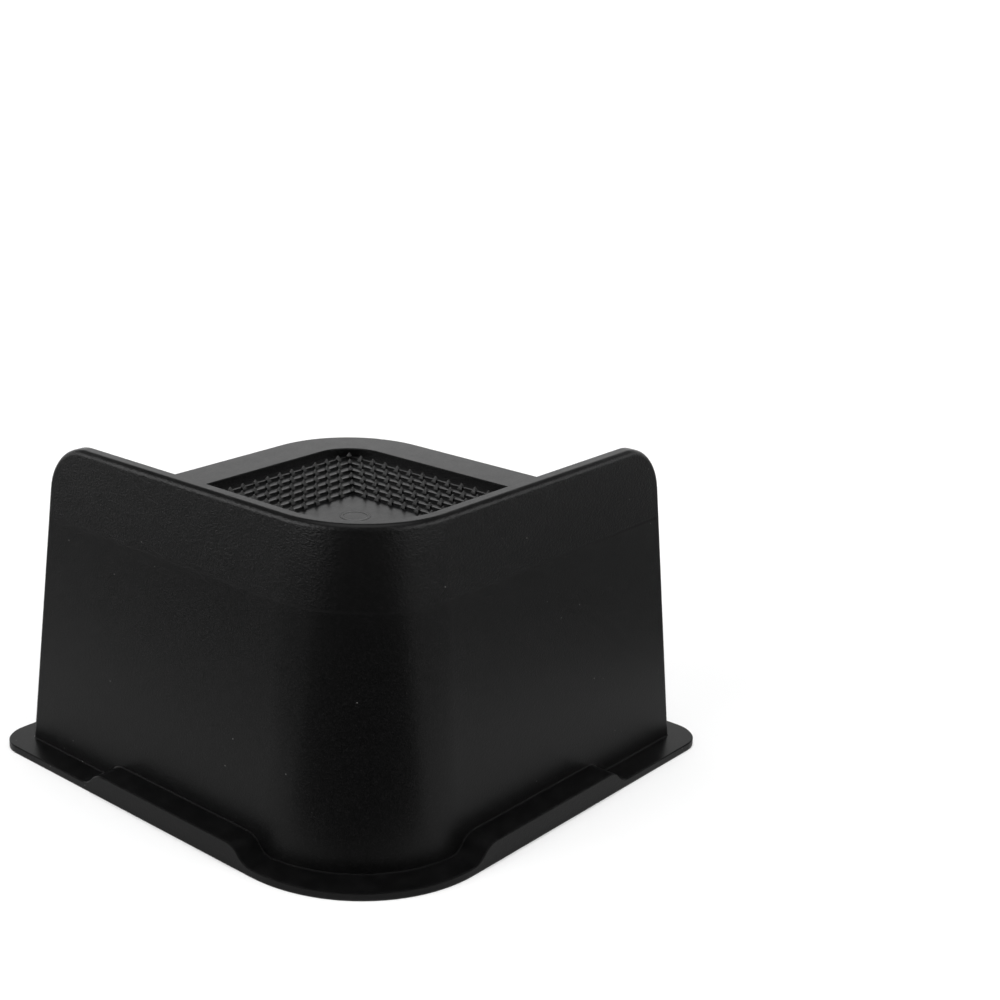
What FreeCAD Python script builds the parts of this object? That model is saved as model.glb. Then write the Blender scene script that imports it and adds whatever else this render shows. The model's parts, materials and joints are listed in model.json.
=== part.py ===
import FreeCAD, Part
import math
import os
import Sketcher

Vector = FreeCAD.Vector

# Driving sizes in millimetres and degrees. The tall guard stands on the -X and -Y sides,
# the low rim on the +X and +Y sides, and the foot rests on Z = 0.
SIZES = {
    "foot_width": 160.0,
    "foot_thickness": 2.3,
    "foot_big_radius": 43.0,
    "foot_small_radius": 10.0,
    "foot_chamfer": 0.3,
    "step_height": 7.0,
    "step_run": 10.0,
    "flange_reach": 7.9,
    "body_radius": 38.8,
    "draft_angle": 4.4,
    "root_chamfer": 0.3,
    "rim_height": 78.8,
    "guard_rise": 20.7,
    "guard_thickness": 4.2,
    "guard_end_round": 15.5,
    "edge_round": 1.9,
    "wall_thickness": 3.4,
    "deck_thickness": 3.6,
    "rib_thickness": 2.6,
    "rim_width": 10.74,
    "tray_depth": 2.8,
    "tray_radius": 13.3,
    "tray_chamfer": 0.3,
    "ridge_width": 0.9,
    "ridge_height": 0.8,
    "tooth_width": 2.0,
    "tooth_tip": 0.3,
    "tooth_height": 1.9,
}

# The grip rows are squares on a grid of equal pitch. Rows are counted in pitches from the middle, and the
# edge of the tray is the next one after the last row.
FIRST_ROW = 3
LAST_ROW = 8

SLOPE = "tan(sheet.draft_angle * 1 deg)"
FLOOR = "(sheet.rim_height - sheet.tray_depth)"
CAVITY_TOP = f"({FLOOR} - sheet.deck_thickness)"
GUARD_TOP = "(sheet.rim_height + sheet.guard_rise)"
WALL_HALF = "(sheet.foot_width / 2 - sheet.flange_reach)"
TOP_INSET = f"({GUARD_TOP} * {SLOPE} + sheet.guard_thickness)"
GUARD_INSIDE = f"({WALL_HALF} - {TOP_INSET})"
TRAY_HALF = f"({GUARD_INSIDE} - sheet.rim_width)"
PITCH = f"({TRAY_HALF} / {LAST_ROW + 1})"
TOLERANCE = 0.01

doc = FreeCAD.newDocument("bed_riser")
sheet = doc.addObject("Spreadsheet::Sheet", "sheet")
for row, (name, size) in enumerate(SIZES.items(), start=1):
    sheet.set(f"A{row}", name)
    sheet.set(f"B{row}", str(size))
    sheet.setAlias(f"B{row}", name)
doc.recompute()

body = doc.addObject("PartDesign::Body", "riser")
body.Label = "riser"
body.Placement = FreeCAD.Placement()


def value(expression):
    """Number that an expression over the sheet has now."""
    result = sheet.evalExpression(expression)
    return float(getattr(result, "Value", result))


def origin_feature(role):
    """Plane or axis of the body's own origin."""
    return next(feature for feature in body.Origin.OriginFeatures if feature.Role == role)


def attach(feature, plane, offset):
    """Set a feature on an origin plane, moved along the plane's own axes."""
    feature.AttachmentSupport = [(origin_feature(plane), "")]
    feature.MapMode = "FlatFace"
    for axis, distance in zip("xyz", offset):
        feature.setExpression(f"AttachmentOffset.Base.{axis}", distance)


def new_sketch(name, plane, lift="0", shift=("0", "0")):
    """Sketch on an origin plane, shifted in the plane and raised along its normal."""
    sketch = body.newObject("Sketcher::SketchObject", name)
    attach(sketch, plane, (*shift, lift))
    return sketch


def dimension(sketch, kind, references, expression):
    """Dimension that follows the sheet."""
    index = sketch.addConstraint(Sketcher.Constraint(kind, *references, value(expression)))
    sketch.setExpression(f"Constraints[{index}]", expression)


def join(sketch, kind, *references):
    """Constraint without a size."""
    sketch.addConstraint(Sketcher.Constraint(kind, *references))


def box_outline(sketch, sides, radii):
    """Upright box round the origin.

    sides are the distances to the front, right, back and left side. radii are those of the corners
    front-left, front-right, back-right and back-left, with None for a sharp corner.
    """
    front, right, back, left = [value(side) for side in sides]
    corners = [Vector(-left, -front), Vector(right, -front), Vector(right, back), Vector(-left, back)]
    rounds = [value(radius) if radius else 0.0 for radius in radii]
    lines = []
    for side in range(4):
        ahead = (side + 1) % 4
        along = (corners[ahead] - corners[side]).normalize()
        start = corners[side] + along * rounds[side]
        end = corners[ahead] - along * rounds[ahead]
        lines.append(sketch.addGeometry(Part.LineSegment(start, end)))
        join(sketch, "Vertical" if side % 2 else "Horizontal", lines[side])
    for corner in range(4):
        before, after = lines[corner - 1], lines[corner]
        if not radii[corner]:
            join(sketch, "Coincident", before, 2, after, 1)
            continue
        turn = math.pi + corner * math.pi / 2
        inward = Vector(math.cos(turn) - math.sin(turn), math.sin(turn) + math.cos(turn))
        circle = Part.Circle(corners[corner] - inward * rounds[corner], Vector(0, 0, 1), rounds[corner])
        arc = sketch.addGeometry(Part.ArcOfCircle(circle, turn, turn + math.pi / 2))
        join(sketch, "Tangent", before, 2, arc, 1)
        join(sketch, "Tangent", arc, 2, after, 1)
        dimension(sketch, "Radius", (arc,), radii[corner])
    dimension(sketch, "DistanceY", (lines[0], 1, -1, 1), sides[0])
    dimension(sketch, "DistanceX", (-1, 1, lines[1], 1), sides[1])
    dimension(sketch, "DistanceY", (-1, 1, lines[2], 1), sides[2])
    dimension(sketch, "DistanceX", (lines[3], 1, -1, 1), sides[3])


def square(sketch, half, radii=(None,) * 4):
    """Square centred on the origin."""
    box_outline(sketch, (half,) * 4, radii)


def step_profile(sketch):
    """Side view of the raised part of the foot: a flat top with a smooth double curve at each end.

    It ends where the big corners of the foot begin.
    """
    flat = "(sheet.foot_width / 2 - sheet.foot_big_radius - sheet.step_run)"
    foot = f"({flat} + sheet.step_run)"
    rise = value("sheet.step_height - sheet.foot_thickness")
    run = value("sheet.step_run")
    radius = (run ** 2 + rise ** 2) / (4 * rise)
    sweep = math.asin(run / 2 / radius)
    low, high = value("sheet.foot_thickness"), value("sheet.step_height")
    far, near = value(foot), value(flat)
    bottom = sketch.addGeometry(Part.LineSegment(Vector(-far, 0), Vector(far, 0)))
    top = sketch.addGeometry(Part.LineSegment(Vector(near, high), Vector(-near, high)))
    join(sketch, "PointOnObject", bottom, 1, -1)
    join(sketch, "Horizontal", bottom)
    join(sketch, "Horizontal", top)
    dimension(sketch, "DistanceY", (-1, 1, top, 1), "sheet.step_height")
    for side, bottom_end, top_end in ((1, 2, 1), (-1, 1, 2)):
        upright = sketch.addGeometry(Part.LineSegment(Vector(side * far, 0), Vector(side * far, low)))
        lower_circle = Part.Circle(Vector(side * far, low + radius), Vector(0, 0, 1), radius)
        upper_circle = Part.Circle(Vector(side * near, high - radius), Vector(0, 0, 1), radius)
        down, up = 1.5 * math.pi, 0.5 * math.pi
        spans = [sorted((angle, angle - side * sweep)) for angle in (down, up)]
        lower = sketch.addGeometry(Part.ArcOfCircle(lower_circle, *spans[0]))
        upper = sketch.addGeometry(Part.ArcOfCircle(upper_circle, *spans[1]))
        middle, tip = (1, 2) if side > 0 else (2, 1)
        join(sketch, "Coincident", bottom, bottom_end, upright, 1)
        join(sketch, "Vertical", upright)
        join(sketch, "Coincident", upright, 2, lower, tip)
        join(sketch, "Vertical", lower, tip, lower, 3)
        join(sketch, "Tangent", upper, middle, lower, middle)
        join(sketch, "Tangent", upper, tip, top, top_end)
        join(sketch, "Equal", upper, lower)
        dimension(sketch, "DistanceY", (upright, 1, upright, 2), "sheet.foot_thickness")
        ends = (-1, 1, top, top_end) if side > 0 else (top, top_end, -1, 1)
        dimension(sketch, "DistanceX", ends, flat)
        ends = (-1, 1, upright, 1) if side > 0 else (upright, 1, -1, 1)
        dimension(sketch, "DistanceX", ends, foot)


def rib_profile(sketch):
    """Side view of a rib, from the floor into the deck, with its ends inside the drafted walls."""
    low_half = f"({WALL_HALF} - sheet.wall_thickness / 2)"
    height = f"({CAVITY_TOP} + sheet.deck_thickness / 2)"
    high_half = f"({low_half} - {height} * {SLOPE})"
    low, high, top = value(low_half), value(high_half), value(height)
    points = [Vector(-low, 0), Vector(low, 0), Vector(high, top), Vector(-high, top)]
    lines = []
    for corner in range(4):
        line = Part.LineSegment(points[corner], points[(corner + 1) % 4])
        lines.append(sketch.addGeometry(line))
    for corner in range(4):
        join(sketch, "Coincident", lines[corner - 1], 2, lines[corner], 1)
    join(sketch, "PointOnObject", lines[0], 1, -1)
    join(sketch, "Horizontal", lines[0])
    join(sketch, "Horizontal", lines[2])
    dimension(sketch, "DistanceX", (lines[0], 1, -1, 1), low_half)
    dimension(sketch, "DistanceX", (-1, 1, lines[0], 2), low_half)
    dimension(sketch, "DistanceX", (-1, 1, lines[2], 1), high_half)
    dimension(sketch, "DistanceX", (lines[2], 2, -1, 1), high_half)
    dimension(sketch, "DistanceY", (-1, 1, lines[2], 1), height)


def extrude(kind, name, sketch, length, taper=None, both_ways=False, reverse=False):
    """Pad or pocket of a sketch."""
    feature = body.newObject(f"PartDesign::{kind}", name)
    feature.Profile = sketch
    feature.setExpression("Length", length)
    if taper:
        feature.setExpression("TaperAngle", taper)
    if both_ways:
        feature.SideType = "Symmetric"
    feature.Reversed = reverse
    doc.recompute()
    return feature


def draft_sides(name):
    """Lean all upright faces inwards, from their lower edge at Z = 0."""
    base = body.Tip
    names = []
    for index, face in enumerate(base.Shape.Faces, start=1):
        first_u, last_u, first_v, last_v = face.ParameterRange
        normal = face.normalAt((first_u + last_u) / 2, (first_v + last_v) / 2)
        if near(normal.z, 0):
            names.append(f"Face{index}")
    feature = body.newObject("PartDesign::Draft", name)
    feature.Base = (base, names)
    feature.NeutralPlane = (origin_feature("XY_Plane"), [""])
    feature.setExpression("Angle", "sheet.draft_angle")
    doc.recompute()
    return feature


def break_edges(kind, name, size, wanted):
    """Fillet or chamfer on the edges whose middle point fits, and on all that run on smoothly from them."""
    base = body.Tip
    names = []
    for index, edge in enumerate(base.Shape.Edges, start=1):
        if wanted(edge.valueAt((edge.FirstParameter + edge.LastParameter) / 2)):
            names.append(f"Edge{index}")
    feature = body.newObject(f"PartDesign::{kind}", name)
    feature.Base = (base, names)
    feature.setExpression("Radius" if kind == "Fillet" else "Size", size)
    doc.recompute()
    return feature


def near(first, second):
    """True for two equal lengths."""
    return abs(first - second) < TOLERANCE


# Walls: one drafted block with two round and two square corners.
wall_sketch = new_sketch("wall_outline", "XY_Plane")
square(wall_sketch, WALL_HALF, ("sheet.body_radius", None, "sheet.body_radius", None))
extrude("Pad", "walls", wall_sketch, GUARD_TOP)
draft_sides("wall_draft")

# Guard: the block is cut down to the rim, except for the L-shaped wall on two sides. The round along its
# top runs on over its ends and down the two square corners of the walls.
guard_sketch = new_sketch("guard_inside", "XY_Plane", GUARD_TOP)
inside_radius = f"(sheet.body_radius - {TOP_INSET})"
box_outline(
    guard_sketch,
    (GUARD_INSIDE, "sheet.foot_width", "sheet.foot_width", GUARD_INSIDE),
    (inside_radius, None, None, None),
)
extrude("Pocket", "guard", guard_sketch, "sheet.guard_rise")

top = value(GUARD_TOP)
top_half = value(f"{GUARD_INSIDE} + sheet.guard_thickness")
break_edges(
    "Fillet",
    "guard_ends",
    "sheet.guard_end_round",
    lambda point: near(point.z, top) and near(max(point.x, point.y), top_half),
)
break_edges(
    "Fillet",
    "guard_edge",
    "sheet.edge_round",
    lambda point: near(point.z, top) and near(point.x, -top_half),
)
rim = value("sheet.rim_height")
rim_half = value(f"{WALL_HALF} - sheet.rim_height * {SLOPE}")
break_edges(
    "Fillet",
    "rim_edge",
    "sheet.edge_round",
    lambda point: near(point.z, rim) and near(point.x, rim_half),
)

# Foot: a thin plate with two big and two small corners, raised in the middle of each side.
foot_sketch = new_sketch("foot_outline", "XY_Plane")
big, small = "sheet.foot_big_radius", "sheet.foot_small_radius"
square(foot_sketch, "sheet.foot_width / 2", (big, small, big, small))
extrude("Pad", "foot", foot_sketch, "sheet.foot_thickness")
for name, plane in (("step_across", "XZ_Plane"), ("step_along", "YZ_Plane")):
    sketch = new_sketch(f"{name}_profile", plane)
    step_profile(sketch)
    extrude("Pad", name, sketch, "sheet.foot_width", both_ways=True)

foot_half = value("sheet.foot_width / 2")
step_top = value("sheet.step_height")
step_wall = value(f"{WALL_HALF} - sheet.step_height * {SLOPE}")
break_edges(
    "Chamfer",
    "foot_edge",
    "sheet.foot_chamfer",
    lambda point: near(point.z, step_top) and near(point.x, -foot_half),
)
break_edges(
    "Chamfer",
    "wall_root",
    "sheet.root_chamfer",
    lambda point: near(point.z, step_top) and near(point.x, -step_wall),
)

# Underside: one drafted hollow, divided by two ribs that cross in the middle and reach the floor.
cavity_sketch = new_sketch("cavity_outline", "XY_Plane")
cavity_half = f"({WALL_HALF} - sheet.wall_thickness)"
cavity_radius = "(sheet.body_radius - sheet.wall_thickness)"
square(cavity_sketch, cavity_half, (cavity_radius, None, cavity_radius, None))
extrude("Pocket", "cavity", cavity_sketch, CAVITY_TOP, taper="-sheet.draft_angle", reverse=True)
for name, plane in (("rib_across", "XZ_Plane"), ("rib_along", "YZ_Plane")):
    sketch = new_sketch(f"{name}_profile", plane)
    rib_profile(sketch)
    extrude("Pad", name, sketch, "sheet.rib_thickness", both_ways=True)

# Tray: a shallow square recess in the rim.
tray_sketch = new_sketch("tray_outline", "XY_Plane", "sheet.rim_height")
square(tray_sketch, TRAY_HALF, ("sheet.tray_radius",) * 4)
extrude("Pocket", "tray", tray_sketch, "sheet.tray_depth")
tray_half = value(TRAY_HALF)
break_edges(
    "Chamfer",
    "tray_edge",
    "sheet.tray_chamfer",
    lambda point: near(point.z, rim) and near(point.x, tray_half),
)

# Grip rows: low square ridges, one pitch apart.
for row in range(FIRST_ROW, LAST_ROW + 1):
    sketch = new_sketch(f"ridge_{row}_outline", "XY_Plane", FLOOR)
    for side in ("+", "-"):
        square(sketch, f"({row} * {PITCH} {side} sheet.ridge_width / 2)")
    extrude("Pad", f"ridge_{row}", sketch, "sheet.ridge_height")

# Teeth: a small blunt pyramid on every grid point of the rows. One oblong block of them, repeated by
# quarter turns round the middle, fills the field.
tooth = body.newObject("PartDesign::AdditiveWedge", "tooth")
attach(tooth, "XZ_Plane", (f"-{LAST_ROW} * {PITCH}", FLOOR, f"-{FIRST_ROW} * {PITCH}"))
for axis in "XZ":
    tooth.setExpression(f"{axis}min", "-sheet.tooth_width / 2")
    tooth.setExpression(f"{axis}max", "sheet.tooth_width / 2")
    tooth.setExpression(f"{axis}2min", "-sheet.tooth_tip / 2")
    tooth.setExpression(f"{axis}2max", "sheet.tooth_tip / 2")
tooth.Ymin = 0
tooth.setExpression("Ymax", "sheet.tooth_height")
doc.recompute()

teeth = body.newObject("PartDesign::MultiTransform", "teeth")
teeth.Originals = [tooth]
teeth.Refine = False
steps = []
for axis, count in (("X", LAST_ROW + FIRST_ROW), ("Y", LAST_ROW - FIRST_ROW + 1)):
    step = body.newObject("PartDesign::LinearPattern", f"teeth_along_{axis.lower()}")
    step.Direction = (origin_feature(f"{axis}_Axis"), [""])
    step.Mode = "Spacing"
    step.setExpression("Offset", PITCH)
    step.Occurrences = count
    steps.append(step)
turns = body.newObject("PartDesign::PolarPattern", "teeth_turns")
turns.Axis = (origin_feature("Z_Axis"), [""])
turns.Angle = 360
turns.Occurrences = 4
teeth.Transformations = [*steps, turns]
body.Tip = teeth
doc.recompute()

for feature in doc.Objects:
    if "Invalid" in feature.State or "Error" in feature.State:
        raise RuntimeError(f"{feature.Name} did not build")
if body.Shape.isNull() or not body.Shape.isValid() or len(body.Shape.Solids) != 1:
    raise RuntimeError("the riser is not one sound solid")

os.makedirs("parts", exist_ok=True)
body.Shape.exportStep(os.path.join("parts", f"{body.Label}.step"))
print(f"riser: {body.Shape.Volume / 1000:.1f} cm3, {len(body.Shape.Faces)} faces")
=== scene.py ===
# %% [markdown]
# # A bed riser in black moulded plastic
#
# The riser is one hollow moulding: a wide foot, four leaning walls, a tray with rows of teeth on top,
# and a tall guard round one corner of the tray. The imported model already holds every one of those
# forms, so this lesson is about the rest: where the camera stands, how a studio shows the shape of
# something black, and how one shader can carry the different grains that a mould leaves on its parts.

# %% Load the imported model
import json
import math

import bmesh
import bpy
from mathutils import Matrix, Vector
from mathutils.geometry import convex_hull_2d


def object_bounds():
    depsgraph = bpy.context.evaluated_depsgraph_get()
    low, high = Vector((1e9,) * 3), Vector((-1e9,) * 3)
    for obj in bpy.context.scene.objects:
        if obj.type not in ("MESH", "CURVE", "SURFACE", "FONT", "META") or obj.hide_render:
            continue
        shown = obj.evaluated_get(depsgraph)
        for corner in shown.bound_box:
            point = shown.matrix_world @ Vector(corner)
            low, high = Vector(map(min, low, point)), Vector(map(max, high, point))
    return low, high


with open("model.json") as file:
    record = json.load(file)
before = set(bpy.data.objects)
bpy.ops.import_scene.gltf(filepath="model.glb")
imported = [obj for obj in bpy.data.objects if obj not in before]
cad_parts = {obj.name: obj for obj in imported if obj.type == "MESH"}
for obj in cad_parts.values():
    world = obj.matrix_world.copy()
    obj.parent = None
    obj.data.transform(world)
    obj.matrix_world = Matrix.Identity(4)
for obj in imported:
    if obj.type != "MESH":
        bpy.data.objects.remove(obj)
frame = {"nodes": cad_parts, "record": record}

riser = frame["nodes"]["riser"]
cad_low, cad_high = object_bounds()
print("riser box in metres:", [round(value, 4) for value in (*cad_low, *cad_high)])

# %% [markdown]
# ## Camera
#
# The photograph was taken close up, from in front of the round corner and a little above the guard. A
# camera that is only aimed at the middle of the object can't repeat it, because the object sits left of
# and below the centre of the picture. A view camera solves that by sliding its lens, and Blender's
# shift does the same: the camera keeps the true viewing direction, and the shift moves the frame over
# what it sees.

# %% Stand the camera where the photograph was taken
PICTURE = 1000
FOCAL_PIXELS = 1666.3
LENS_CENTRE = (338.4, 527.7)
CAMERA_PLACE = Vector((-0.3530, -0.3281, 0.2369))
YAW, PITCH, ROLL = (math.radians(angle) for angle in (-46.491, 18.869, 0.452))

back = Vector((math.sin(YAW) * math.cos(PITCH), -math.cos(YAW) * math.cos(PITCH), math.sin(PITCH)))
level_right = Vector((0, 0, 1)).cross(back).normalized()
level_up = back.cross(level_right)
right = level_right * math.cos(ROLL) + level_up * math.sin(ROLL)
up = level_up * math.cos(ROLL) - level_right * math.sin(ROLL)

lens = bpy.data.cameras.new("photo_camera")
lens.sensor_fit = "HORIZONTAL"
lens.sensor_width = 36.0
lens.lens = lens.sensor_width * FOCAL_PIXELS / PICTURE
lens.shift_x = 0.5 - LENS_CENTRE[0] / PICTURE
lens.shift_y = LENS_CENTRE[1] / PICTURE - 0.5
lens.clip_start = 0.01
camera = bpy.data.objects.new("photo_camera", lens)
turned = Matrix((right, up, back)).transposed().to_4x4()
camera.matrix_world = Matrix.Translation(CAMERA_PLACE) @ turned
bpy.context.scene.collection.objects.link(camera)
bpy.context.scene.camera = camera
bpy.context.scene.view_settings.view_transform = "Standard"
print("lens", round(lens.lens, 2), "mm, shift", round(lens.shift_x, 4), round(lens.shift_y, 4))

# %% [markdown]
# ## Shader expressions
#
# A grain is a sum: some coarse noise, some fine noise, a mask that says where each belongs. Wiring
# every plus and times by hand hides that sum. The small class below wraps a node's output, so that
# `coarse * mask + 0.2` adds the Math nodes by itself, and one method makes every other node from its
# type, its settings and its inputs.

# %% A socket that can be added and multiplied
class Signal:
    """Output of a node, used like a number."""

    def __init__(self, sheet, socket):
        self.sheet = sheet
        self.socket = socket

    def join(self, operation, *others):
        """Math node with this signal as its first input."""
        values = dict(enumerate((self, *others)))
        return self.sheet.node("ShaderNodeMath", {"operation": operation}, values)

    def __add__(self, other):
        return self.join("ADD", other)

    __radd__ = __add__

    def __mul__(self, other):
        return self.join("MULTIPLY", other)

    __rmul__ = __mul__

    def __sub__(self, other):
        return self.join("SUBTRACT", other)

    def __rsub__(self, other):
        return (self * -1.0).join("ADD", other)

    def between(self, start, end):
        """Smooth step from 0 at start to 1 at end."""
        settings = {"interpolation_type": "SMOOTHSTEP"}
        values = {"Value": self, "From Min": start, "From Max": end}
        return self.sheet.node("ShaderNodeMapRange", settings, values)


class Sheet:
    """Node tree that is written as expressions."""

    def __init__(self, tree):
        self.tree = tree
        tree.nodes.clear()

    def node(self, kind, settings=None, inputs=None, output=0):
        """Node with its settings made first, then its inputs as values or links."""
        made = self.tree.nodes.new(kind)
        for name, setting in (settings or {}).items():
            setattr(made, name, setting)
        for name, value in (inputs or {}).items():
            if isinstance(value, Signal):
                self.tree.links.new(value.socket, made.inputs[name])
            else:
                made.inputs[name].default_value = value
        return Signal(self, made.outputs[output]) if made.outputs else made

    def noise(self, place, scale, detail=2.0, roughness=0.5):
        """Noise with its middle at one half. A scale of 1000 makes spots about a millimetre wide."""
        values = {"Vector": place, "Scale": scale, "Detail": detail, "Roughness": roughness}
        return self.node("ShaderNodeTexNoise", {"noise_dimensions": "3D"}, values, "Fac")

    def stretched(self, place, scale):
        """Place scaled along each axis, which draws a noise out where the scale is small."""
        return self.node("ShaderNodeMapping", {"vector_type": "POINT"}, {"Vector": place, "Scale": scale})

    def mix(self, factor, first, second):
        """Colour between two colours."""
        return self.node("ShaderNodeMix", {"data_type": "RGBA"}, {0: factor, 6: first, 7: second}, 2)


print("shader expressions ready")

# %% [markdown]
# ## Floor
#
# The riser stands on a plain white floor. The floor runs so far back that its far edge lies above the
# picture, which makes the white background out of nothing but the floor's own colour and light, and it
# keeps the soft shadow where the foot meets it. Under the riser it has an opening in the outline of the
# foot, a little smaller, so that the hollow underside can be looked into from below.

# %% Lay the floor
FLOOR_RADIUS = 14.0
FLOOR_LEVEL = -0.00005
FLOOR_COLOUR = (0.90, 0.90, 0.90, 1.0)
ROUND_SEGMENTS = 96
FOOT_LAYER = 0.0001
OPENING_SHARE = 0.99


def stage_piece(name, shape):
    """Object of the studio from a finished bmesh."""
    mesh = bpy.data.meshes.new(name)
    shape.to_mesh(mesh)
    shape.free()
    piece = bpy.data.objects.new(name, mesh)
    bpy.context.scene.collection.objects.link(piece)
    return piece


def matte_paint(name, colour):
    """Plain material without gloss."""
    paint = bpy.data.materials.new(name)
    paint.use_nodes = True
    sheet = Sheet(paint.node_tree)
    matte = sheet.node("ShaderNodeBsdfDiffuse", inputs={"Color": colour})
    sheet.node("ShaderNodeOutputMaterial", inputs={"Surface": matte})
    return paint


def open_sheet(radius, level):
    """Round sheet at a level, with an opening under the riser."""
    shape = bmesh.new()
    bmesh.ops.create_circle(shape, segments=ROUND_SEGMENTS, radius=radius)
    inner = [point * OPENING_SHARE for point in foot_outline]
    edge = [shape.verts.new((point.x, point.y, 0)) for point in inner]
    for first, second in zip(edge, edge[1:] + edge[:1]):
        shape.edges.new((first, second))
    bmesh.ops.triangle_fill(shape, use_beauty=True, edges=shape.edges[:], normal=(0, 0, 1))
    bmesh.ops.translate(shape, verts=shape.verts[:], vec=(0, 0, level))
    return shape


places = [riser.matrix_world @ point.co for point in riser.data.vertices]
foot_points = [place.xy for place in places if place.z < FOOT_LAYER]
foot_outline = [foot_points[index] for index in convex_hull_2d(foot_points)]
floor = stage_piece("studio_floor", open_sheet(FLOOR_RADIUS, FLOOR_LEVEL))
floor.data.materials.append(matte_paint("floor_white", FLOOR_COLOUR))
print("floor radius", FLOOR_RADIUS, "m, with", len(foot_outline), "points round its opening")

# %% [markdown]
# ## Smooth seams
#
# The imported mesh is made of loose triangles, and each face of the solid brings its own shading. Where a
# flat wall runs into the round corner the two differ by a degree or two, and gloss shows that as a line
# which the real moulding doesn't have. Two modifiers mend it and leave the mesh as it is. The first one
# joins the loose points, keeps every true edge sharp and marks the flat faces as leading. The second
# one then works out the shading again, and takes it from the flat face wherever a round one runs into
# it.

# %% Let the flat faces lead the shading
SEAM_ANGLE = math.radians(20)
JOIN_DISTANCE = 0.000001
LEADING = 16384
FOLLOWING = 0

group = bpy.data.node_groups.new("smooth_seams", "GeometryNodeTree")
for way in ("INPUT", "OUTPUT"):
    group.interface.new_socket("Geometry", in_out=way, socket_type="NodeSocketGeometry")
sheet = Sheet(group)
shape = sheet.node("NodeGroupInput")
shape = sheet.node("GeometryNodeMergeByDistance", None, {"Geometry": shape, "Distance": JOIN_DISTANCE})
shape = sheet.node("GeometryNodeRemoveAttribute", None, {"Geometry": shape, "Name": "custom_normal"})
curved = sheet.node("GeometryNodeInputShadeSmooth")
ranks = {"Switch": curved, "False": LEADING, "True": FOLLOWING}
rank = sheet.node("GeometryNodeSwitch", {"input_type": "INT"}, ranks)
stored = {"Geometry": shape, "Name": "__mod_weightednormals_faceweight", "Value": rank}
shape = sheet.node("GeometryNodeStoreNamedAttribute", {"data_type": "INT", "domain": "FACE"}, stored)
bend = sheet.node("GeometryNodeInputMeshEdgeAngle", output="Unsigned Angle")
smooth = bend.join("LESS_THAN", SEAM_ANGLE)
for domain, where in (("FACE", True), ("EDGE", smooth)):
    chosen = {"Geometry": shape, "Shade Smooth": where}
    shape = sheet.node("GeometryNodeSetShadeSmooth", {"domain": domain}, chosen)
sheet.node("NodeGroupOutput", None, {0: shape})

riser.modifiers.new("smooth_seams", "NODES").node_group = group
shading = riser.modifiers.new("even_shading", "WEIGHTED_NORMAL")
shading.mode = "CORNER_ANGLE"
shading.keep_sharp = True
shading.use_face_influence = True
print("seams flatter than", round(math.degrees(SEAM_ANGLE)), "degrees are smooth")

# %% [markdown]
# ## Cards
#
# A black gloss surface shows what stands round it, not its own colour. With white on every side the
# round corner would turn as grey as the walls, and its roundness would be lost. A photographer stands a
# dark card close to the corner, so that only the part of it that faces the lens mirrors something dark.
# The card is narrower at the top, as the dark streak on the corner is. Two low grey cards beside the
# walls let them grow a little darker towards the top. The one on the right is turned in, because the
# camera sees that wall at a flatter angle, where gloss is stronger. A grey mat on the floor keeps the
# lower walls from mirroring white. All four are kept out of everything except reflections, so they
# throw no shadow and never stand in the picture.

# %% Stand the cards round the riser
MAT_RADIUS = 13.0
MAT_LEVEL = 0.0004
MAT_GREY = 0.375
CORNER_SHARE = 0.6
FRONT_GAP = 0.006
FRONT_WIDTHS = (0.106, 0.038)
FRONT_HEIGHT = 0.125
FRONT_GREY = 0.20
SIDE_WIDTHS = (1.0, 1.0)
SIDE_HEIGHT = 0.10
RIGHT_GAP = 0.045
RIGHT_SHIFT = 0.12
RIGHT_TURN = math.radians(35)
RIGHT_GREY = 0.26
LEFT_GAP = 0.075
LEFT_SHIFT = 0.25
LEFT_GREY = 0.305


def only_mirrored(piece, grey):
    """Grey paint on a piece that only reflections can see."""
    piece.data.materials.append(matte_paint(piece.name, (grey, grey, grey, 1.0)))
    piece.visible_camera = False
    piece.visible_diffuse = False
    piece.visible_shadow = False
    print(piece.name, "grey", grey)


def dark_card(name, middle, across, widths, height, grey):
    """Upright card from a unit square, with its width at the floor and at the top."""
    shape = bmesh.new()
    bmesh.ops.create_grid(shape, x_segments=1, y_segments=1, size=0.5)
    for corner in shape.verts:
        width = widths[1] if corner.co.y > 0 else widths[0]
        rise = Vector((0, 0, (corner.co.y + 0.5) * height))
        corner.co = middle + across * corner.co.x * width + rise
    only_mirrored(stage_piece(name, shape), grey)


corner_ahead = Vector((back.x, back.y, 0)).normalized()
corner_reach = (cad_high[0] - cad_low[0]) * CORNER_SHARE
front_middle = corner_ahead * (corner_reach + FRONT_GAP)
right_middle = Vector((RIGHT_SHIFT, cad_low[1] - RIGHT_GAP, 0))
turned_in = Vector((math.cos(RIGHT_TURN), math.sin(RIGHT_TURN), 0))
left_middle = Vector((cad_low[0] - LEFT_GAP, LEFT_SHIFT, 0))
along_left = Vector((0, 1, 0))
dark_card("front_card", front_middle, level_right, FRONT_WIDTHS, FRONT_HEIGHT, FRONT_GREY)
dark_card("right_card", right_middle, turned_in, SIDE_WIDTHS, SIDE_HEIGHT, RIGHT_GREY)
dark_card("left_card", left_middle, along_left, SIDE_WIDTHS, SIDE_HEIGHT, LEFT_GREY)
only_mirrored(stage_piece("floor_mat", open_sheet(MAT_RADIUS, MAT_LEVEL)), MAT_GREY)

# %% [markdown]
# ## Top light
#
# One soft light straight overhead brings the floor up to white. It is a sun, so it lights the floor as
# evenly far away as near by. Because the walls lean inwards, a light from right above throws almost no
# shadow past the foot, and the riser stands on clean white as it does in the photograph. The gloss
# doesn't show this light, or the top of the round corner would get a bright line that the photograph
# doesn't have.

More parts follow.
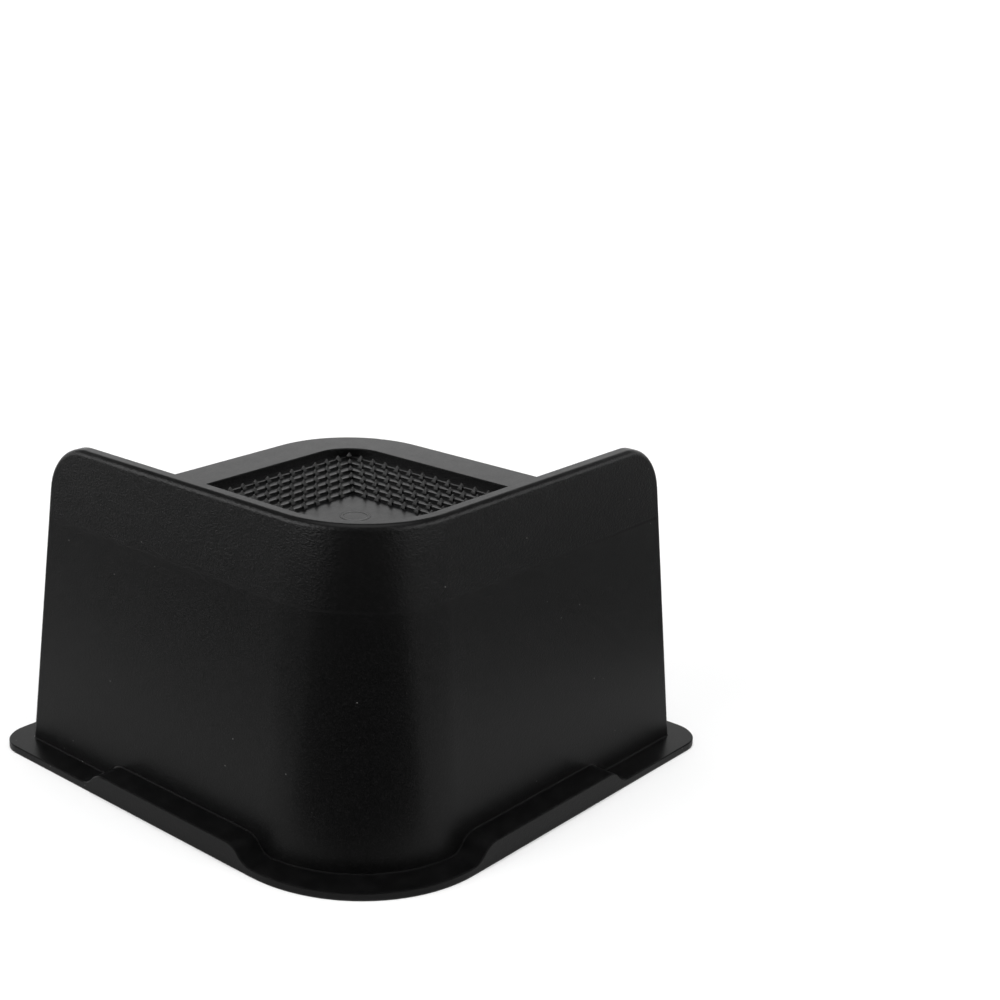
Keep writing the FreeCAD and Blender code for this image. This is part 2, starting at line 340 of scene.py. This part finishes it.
# %% Hang the top light
TOP_STRENGTH = 1.9
TOP_ANGLE = math.radians(24)

lamp = bpy.data.lights.new("top_light", "SUN")
lamp.energy = TOP_STRENGTH
lamp.angle = TOP_ANGLE
top_light = bpy.data.objects.new("top_light", lamp)
top_light.visible_glossy = False
bpy.context.scene.collection.objects.link(top_light)
print("top light", TOP_STRENGTH, "at", round(math.degrees(TOP_ANGLE)), "degrees wide")

# %% [markdown]
# ## Room
#
# What is left is the room, which is most of what the gloss mirrors. Seen from the camera, the rim and
# the tray mirror the far side, so a bright sweep stands there and makes them the lightest faces of the
# riser. The rounded edges of the guard mirror the two softboxes on the left and on the right, which
# gives each a thin bright line. The ceiling and a weak fill above the camera light the riser when it is
# seen from above or from behind. The rest of the room is dim. Low down at the horizon it is white all
# round, so that the floor runs into it without an edge. Each edge of a light is a pair of numbers, where
# the light starts to change and where it has changed, measured along a direction of length one.

# %% Light the room
DIM = 0.06
SWEEP = 1.06
SWEEP_SIDE = (0.10, 0.75)
SWEEP_TOP = (0.36, 0.52)
FILL = 0.25
FILL_SIDE = (-0.70, -0.30)
FILL_FOOT = (0.15, 0.35)
LEFT_BOX = 3.4
LEFT_SIDE = (-0.70, -0.52)
RIGHT_BOX = 2.4
RIGHT_SIDE = (0.50, 0.70)
BOX_FOOT = (0.06, 0.16)
BOX_TOP = (0.48, 0.62)
BOX_BACK = (0.05, 0.35)
CEILING = 1.0
CEILING_EDGE = (0.84, 0.93)
HORIZON = 1.0
HORIZON_TOP = (0.04, 0.10)

room = bpy.data.worlds.new("studio_room")
room.use_nodes = True
bpy.context.scene.world = room
sheet = Sheet(room.node_tree)
direction = sheet.node("ShaderNodeTexCoord", output="Generated")
rise = sheet.node("ShaderNodeSeparateXYZ", None, {0: direction}, "Z")
along = {"operation": "DOT_PRODUCT"}
away = sheet.node("ShaderNodeVectorMath", along, {0: direction, 1: -corner_ahead}, "Value")
aside = sheet.node("ShaderNodeVectorMath", along, {0: direction, 1: level_right}, "Value")

sweep = away.between(*SWEEP_SIDE) * (1 - rise.between(*SWEEP_TOP))
fill = (1 - away.between(*FILL_SIDE)) * rise.between(*FILL_FOOT)
softboxes = LEFT_BOX * (1 - aside.between(*LEFT_SIDE)) + RIGHT_BOX * aside.between(*RIGHT_SIDE)
softboxes = softboxes * rise.between(*BOX_FOOT) * (1 - rise.between(*BOX_TOP))
softboxes = softboxes * (1 - away.between(*BOX_BACK))
ceiling = rise.between(*CEILING_EDGE)
strength = DIM + sweep * (SWEEP - DIM) + fill * FILL + ceiling * CEILING + softboxes
strength = strength.join("MAXIMUM", HORIZON * (1 - rise.between(*HORIZON_TOP)))
glow = sheet.node("ShaderNodeBackground", None, {"Color": (1.0, 1.0, 1.0, 1.0), "Strength": strength})
sheet.node("ShaderNodeOutputWorld", None, {"Surface": glow})
print("room:", SWEEP, "at the sweep,", LEFT_BOX, "and", RIGHT_BOX, "at the softboxes,", DIM, "elsewhere")

# %% [markdown]
# ## The moulding's zones
#
# A mould is cut and textured part by part, and the plastic copies it. On this riser the lower walls
# have a fine, even spark grain. The band above the height of the tray floor belongs to another ring of
# the mould: its grain is coarser, and a faint line shows where the two rings meet. The rim and the tray
# are smoother, as if that side of the mould was only polished. The line's height comes from the packed
# record, so the finish stays on its part of the object.

# %% Find the height where the zones meet
tray_floor = next(mount["pos_m"][2] for mount in frame["record"]["mounts"] if mount["name"] == "leg_seat")
print("tray floor and mould line at", tray_floor, "m")

# %% [markdown]
# ## Black plastic
#
# The plastic is almost black, and nearly all of what is seen of it is gloss. So the colour stays close
# to black, and the work goes into the roughness and the bump: a coarse and a fine grain, faint waves
# where the plastic shrank, and streaks of flow. In the middle of the tray is the plain ring of the
# gate, where the plastic came in. A few pale specks of dust stop it looking like a computer's black.
# The zones are told apart by height and by how far a face lies flat, and each amount below says what a
# zone gets more or less of.

# %% Mix the plastic
BLACK = (0.0024, 0.0024, 0.0025, 1.0)
GREY_BLOOM = (0.0048, 0.0048, 0.0049, 1.0)
DUST = (0.090, 0.090, 0.088, 1.0)
DUST_CELLS = 150.0
DUST_SIZE = (0.018, 0.042)
LYING = (0.55, 0.9)
BAND_BLEND = 0.0010
GRAIN_STRETCH = (0.65, 0.65, 1.0)
COARSE_SCALE, COARSE_ON_WALL, COARSE_ON_BAND = 1700, 0.4, 1.6
FINE_SCALE, FINE_ON_WALL, FINE_ON_BAND = 3200, 0.6, 0.4
WAVE_SCALE, WAVE_HEIGHT = 38, 1.2
STREAK_SCALE = 210
STREAK_STRETCH = (1.0, 1.0, 0.12)
POLISH = 0.7
BAND_SINK = 0.35
GRAIN_DEPTH = 0.00006
RING_RADIUS = 0.0042
RING_LINE = 0.0006
RING_HEIGHT = 6.0
MOULD_LINE = 0.0004
ROUGHNESS = 0.33
ROUGHER_BAND = 0.04
SMOOTHER_TRAY = 0.01
ROUGHER_LINE = 0.18
ROUGH_GRAIN = 0.10
ROUGH_STREAKS, ROUGH_TRAY_STREAKS = 0.02, 0.08
BLOOM_IN_STREAKS = (0.35, 0.8)
BLOOM_IN_GRAIN = (0.5, 0.75)
SPECULAR = 0.30


def black_plastic():
    """Moulded black plastic with a grain for each zone."""
    paint = bpy.data.materials.new("black_plastic_moulded")
    paint.use_nodes = True
    sheet = Sheet(paint.node_tree)
    place = sheet.node("ShaderNodeTexCoord", output="Object")
    height = sheet.node("ShaderNodeSeparateXYZ", inputs={0: place}, output="Z")
    facing = sheet.node("ShaderNodeNewGeometry", output="Normal")
    lying = sheet.node("ShaderNodeSeparateXYZ", inputs={0: facing}, output="Z").between(*LYING)

    upper = height.between(tray_floor, tray_floor + BAND_BLEND)
    band = upper * (1 - lying)
    drawn_out = sheet.stretched(place, GRAIN_STRETCH)
    coarse = sheet.noise(drawn_out, COARSE_SCALE, detail=1.5)
    fine = sheet.noise(drawn_out, FINE_SCALE, detail=1.0)
    waves = sheet.noise(place, WAVE_SCALE, detail=1.0)
    streaks = sheet.noise(sheet.stretched(place, STREAK_STRETCH), STREAK_SCALE, detail=3.0)
    grain = fine * (band * FINE_ON_BAND + FINE_ON_WALL) + coarse * (band * COARSE_ON_BAND + COARSE_ON_WALL)
    grain = grain * (1 - lying * POLISH) + waves * WAVE_HEIGHT - band * BAND_SINK

    flattened = {0: place, 1: (1.0, 1.0, 0.0)}
    flat_place = sheet.node("ShaderNodeVectorMath", {"operation": "MULTIPLY"}, flattened)
    reach = sheet.node("ShaderNodeVectorMath", {"operation": "LENGTH"}, {0: flat_place}, "Value")
    ring = 1 - (reach - RING_RADIUS).join("ABSOLUTE").between(RING_LINE * 0.5, RING_LINE)
    ring = ring * lying
    relief = {"Strength": 1.0, "Distance": GRAIN_DEPTH, "Height": grain + ring * RING_HEIGHT}
    bump = sheet.node("ShaderNodeBump", None, relief)

    groove = 1 - (height - tray_floor).join("ABSOLUTE").between(MOULD_LINE * 0.5, MOULD_LINE * 1.5)
    groove = groove * (1 - lying)
    streaked = (streaks - 0.5) * (lying * ROUGH_TRAY_STREAKS + ROUGH_STREAKS)
    uneven = (coarse - 0.5) * ROUGH_GRAIN + streaked
    roughness = ROUGHNESS + band * ROUGHER_BAND - lying * SMOOTHER_TRAY + groove * ROUGHER_LINE + uneven

    cells = {"Vector": place, "Scale": DUST_CELLS}
    cell = sheet.node("ShaderNodeTexVoronoi", {"feature": "F1"}, cells, "Distance")
    speck = 1 - cell.between(*DUST_SIZE)
    bloom = streaks.between(*BLOOM_IN_STREAKS) * lying + coarse.between(*BLOOM_IN_GRAIN) * (1 - lying)
    colour = sheet.mix(bloom, BLACK, GREY_BLOOM)
    colour = sheet.mix(speck, colour, DUST)
    values = {"Base Color": colour, "Roughness": roughness, "Normal": bump, "Specular IOR Level": SPECULAR}
    surface = sheet.node("ShaderNodeBsdfPrincipled", None, values)
    sheet.node("ShaderNodeOutputMaterial", inputs={"Surface": surface})
    return paint


plastic = black_plastic()
for slot in riser.material_slots:
    slot.material = plastic
print("plastic nodes:", len(plastic.node_tree.nodes), "on", len(riser.material_slots), "slot")
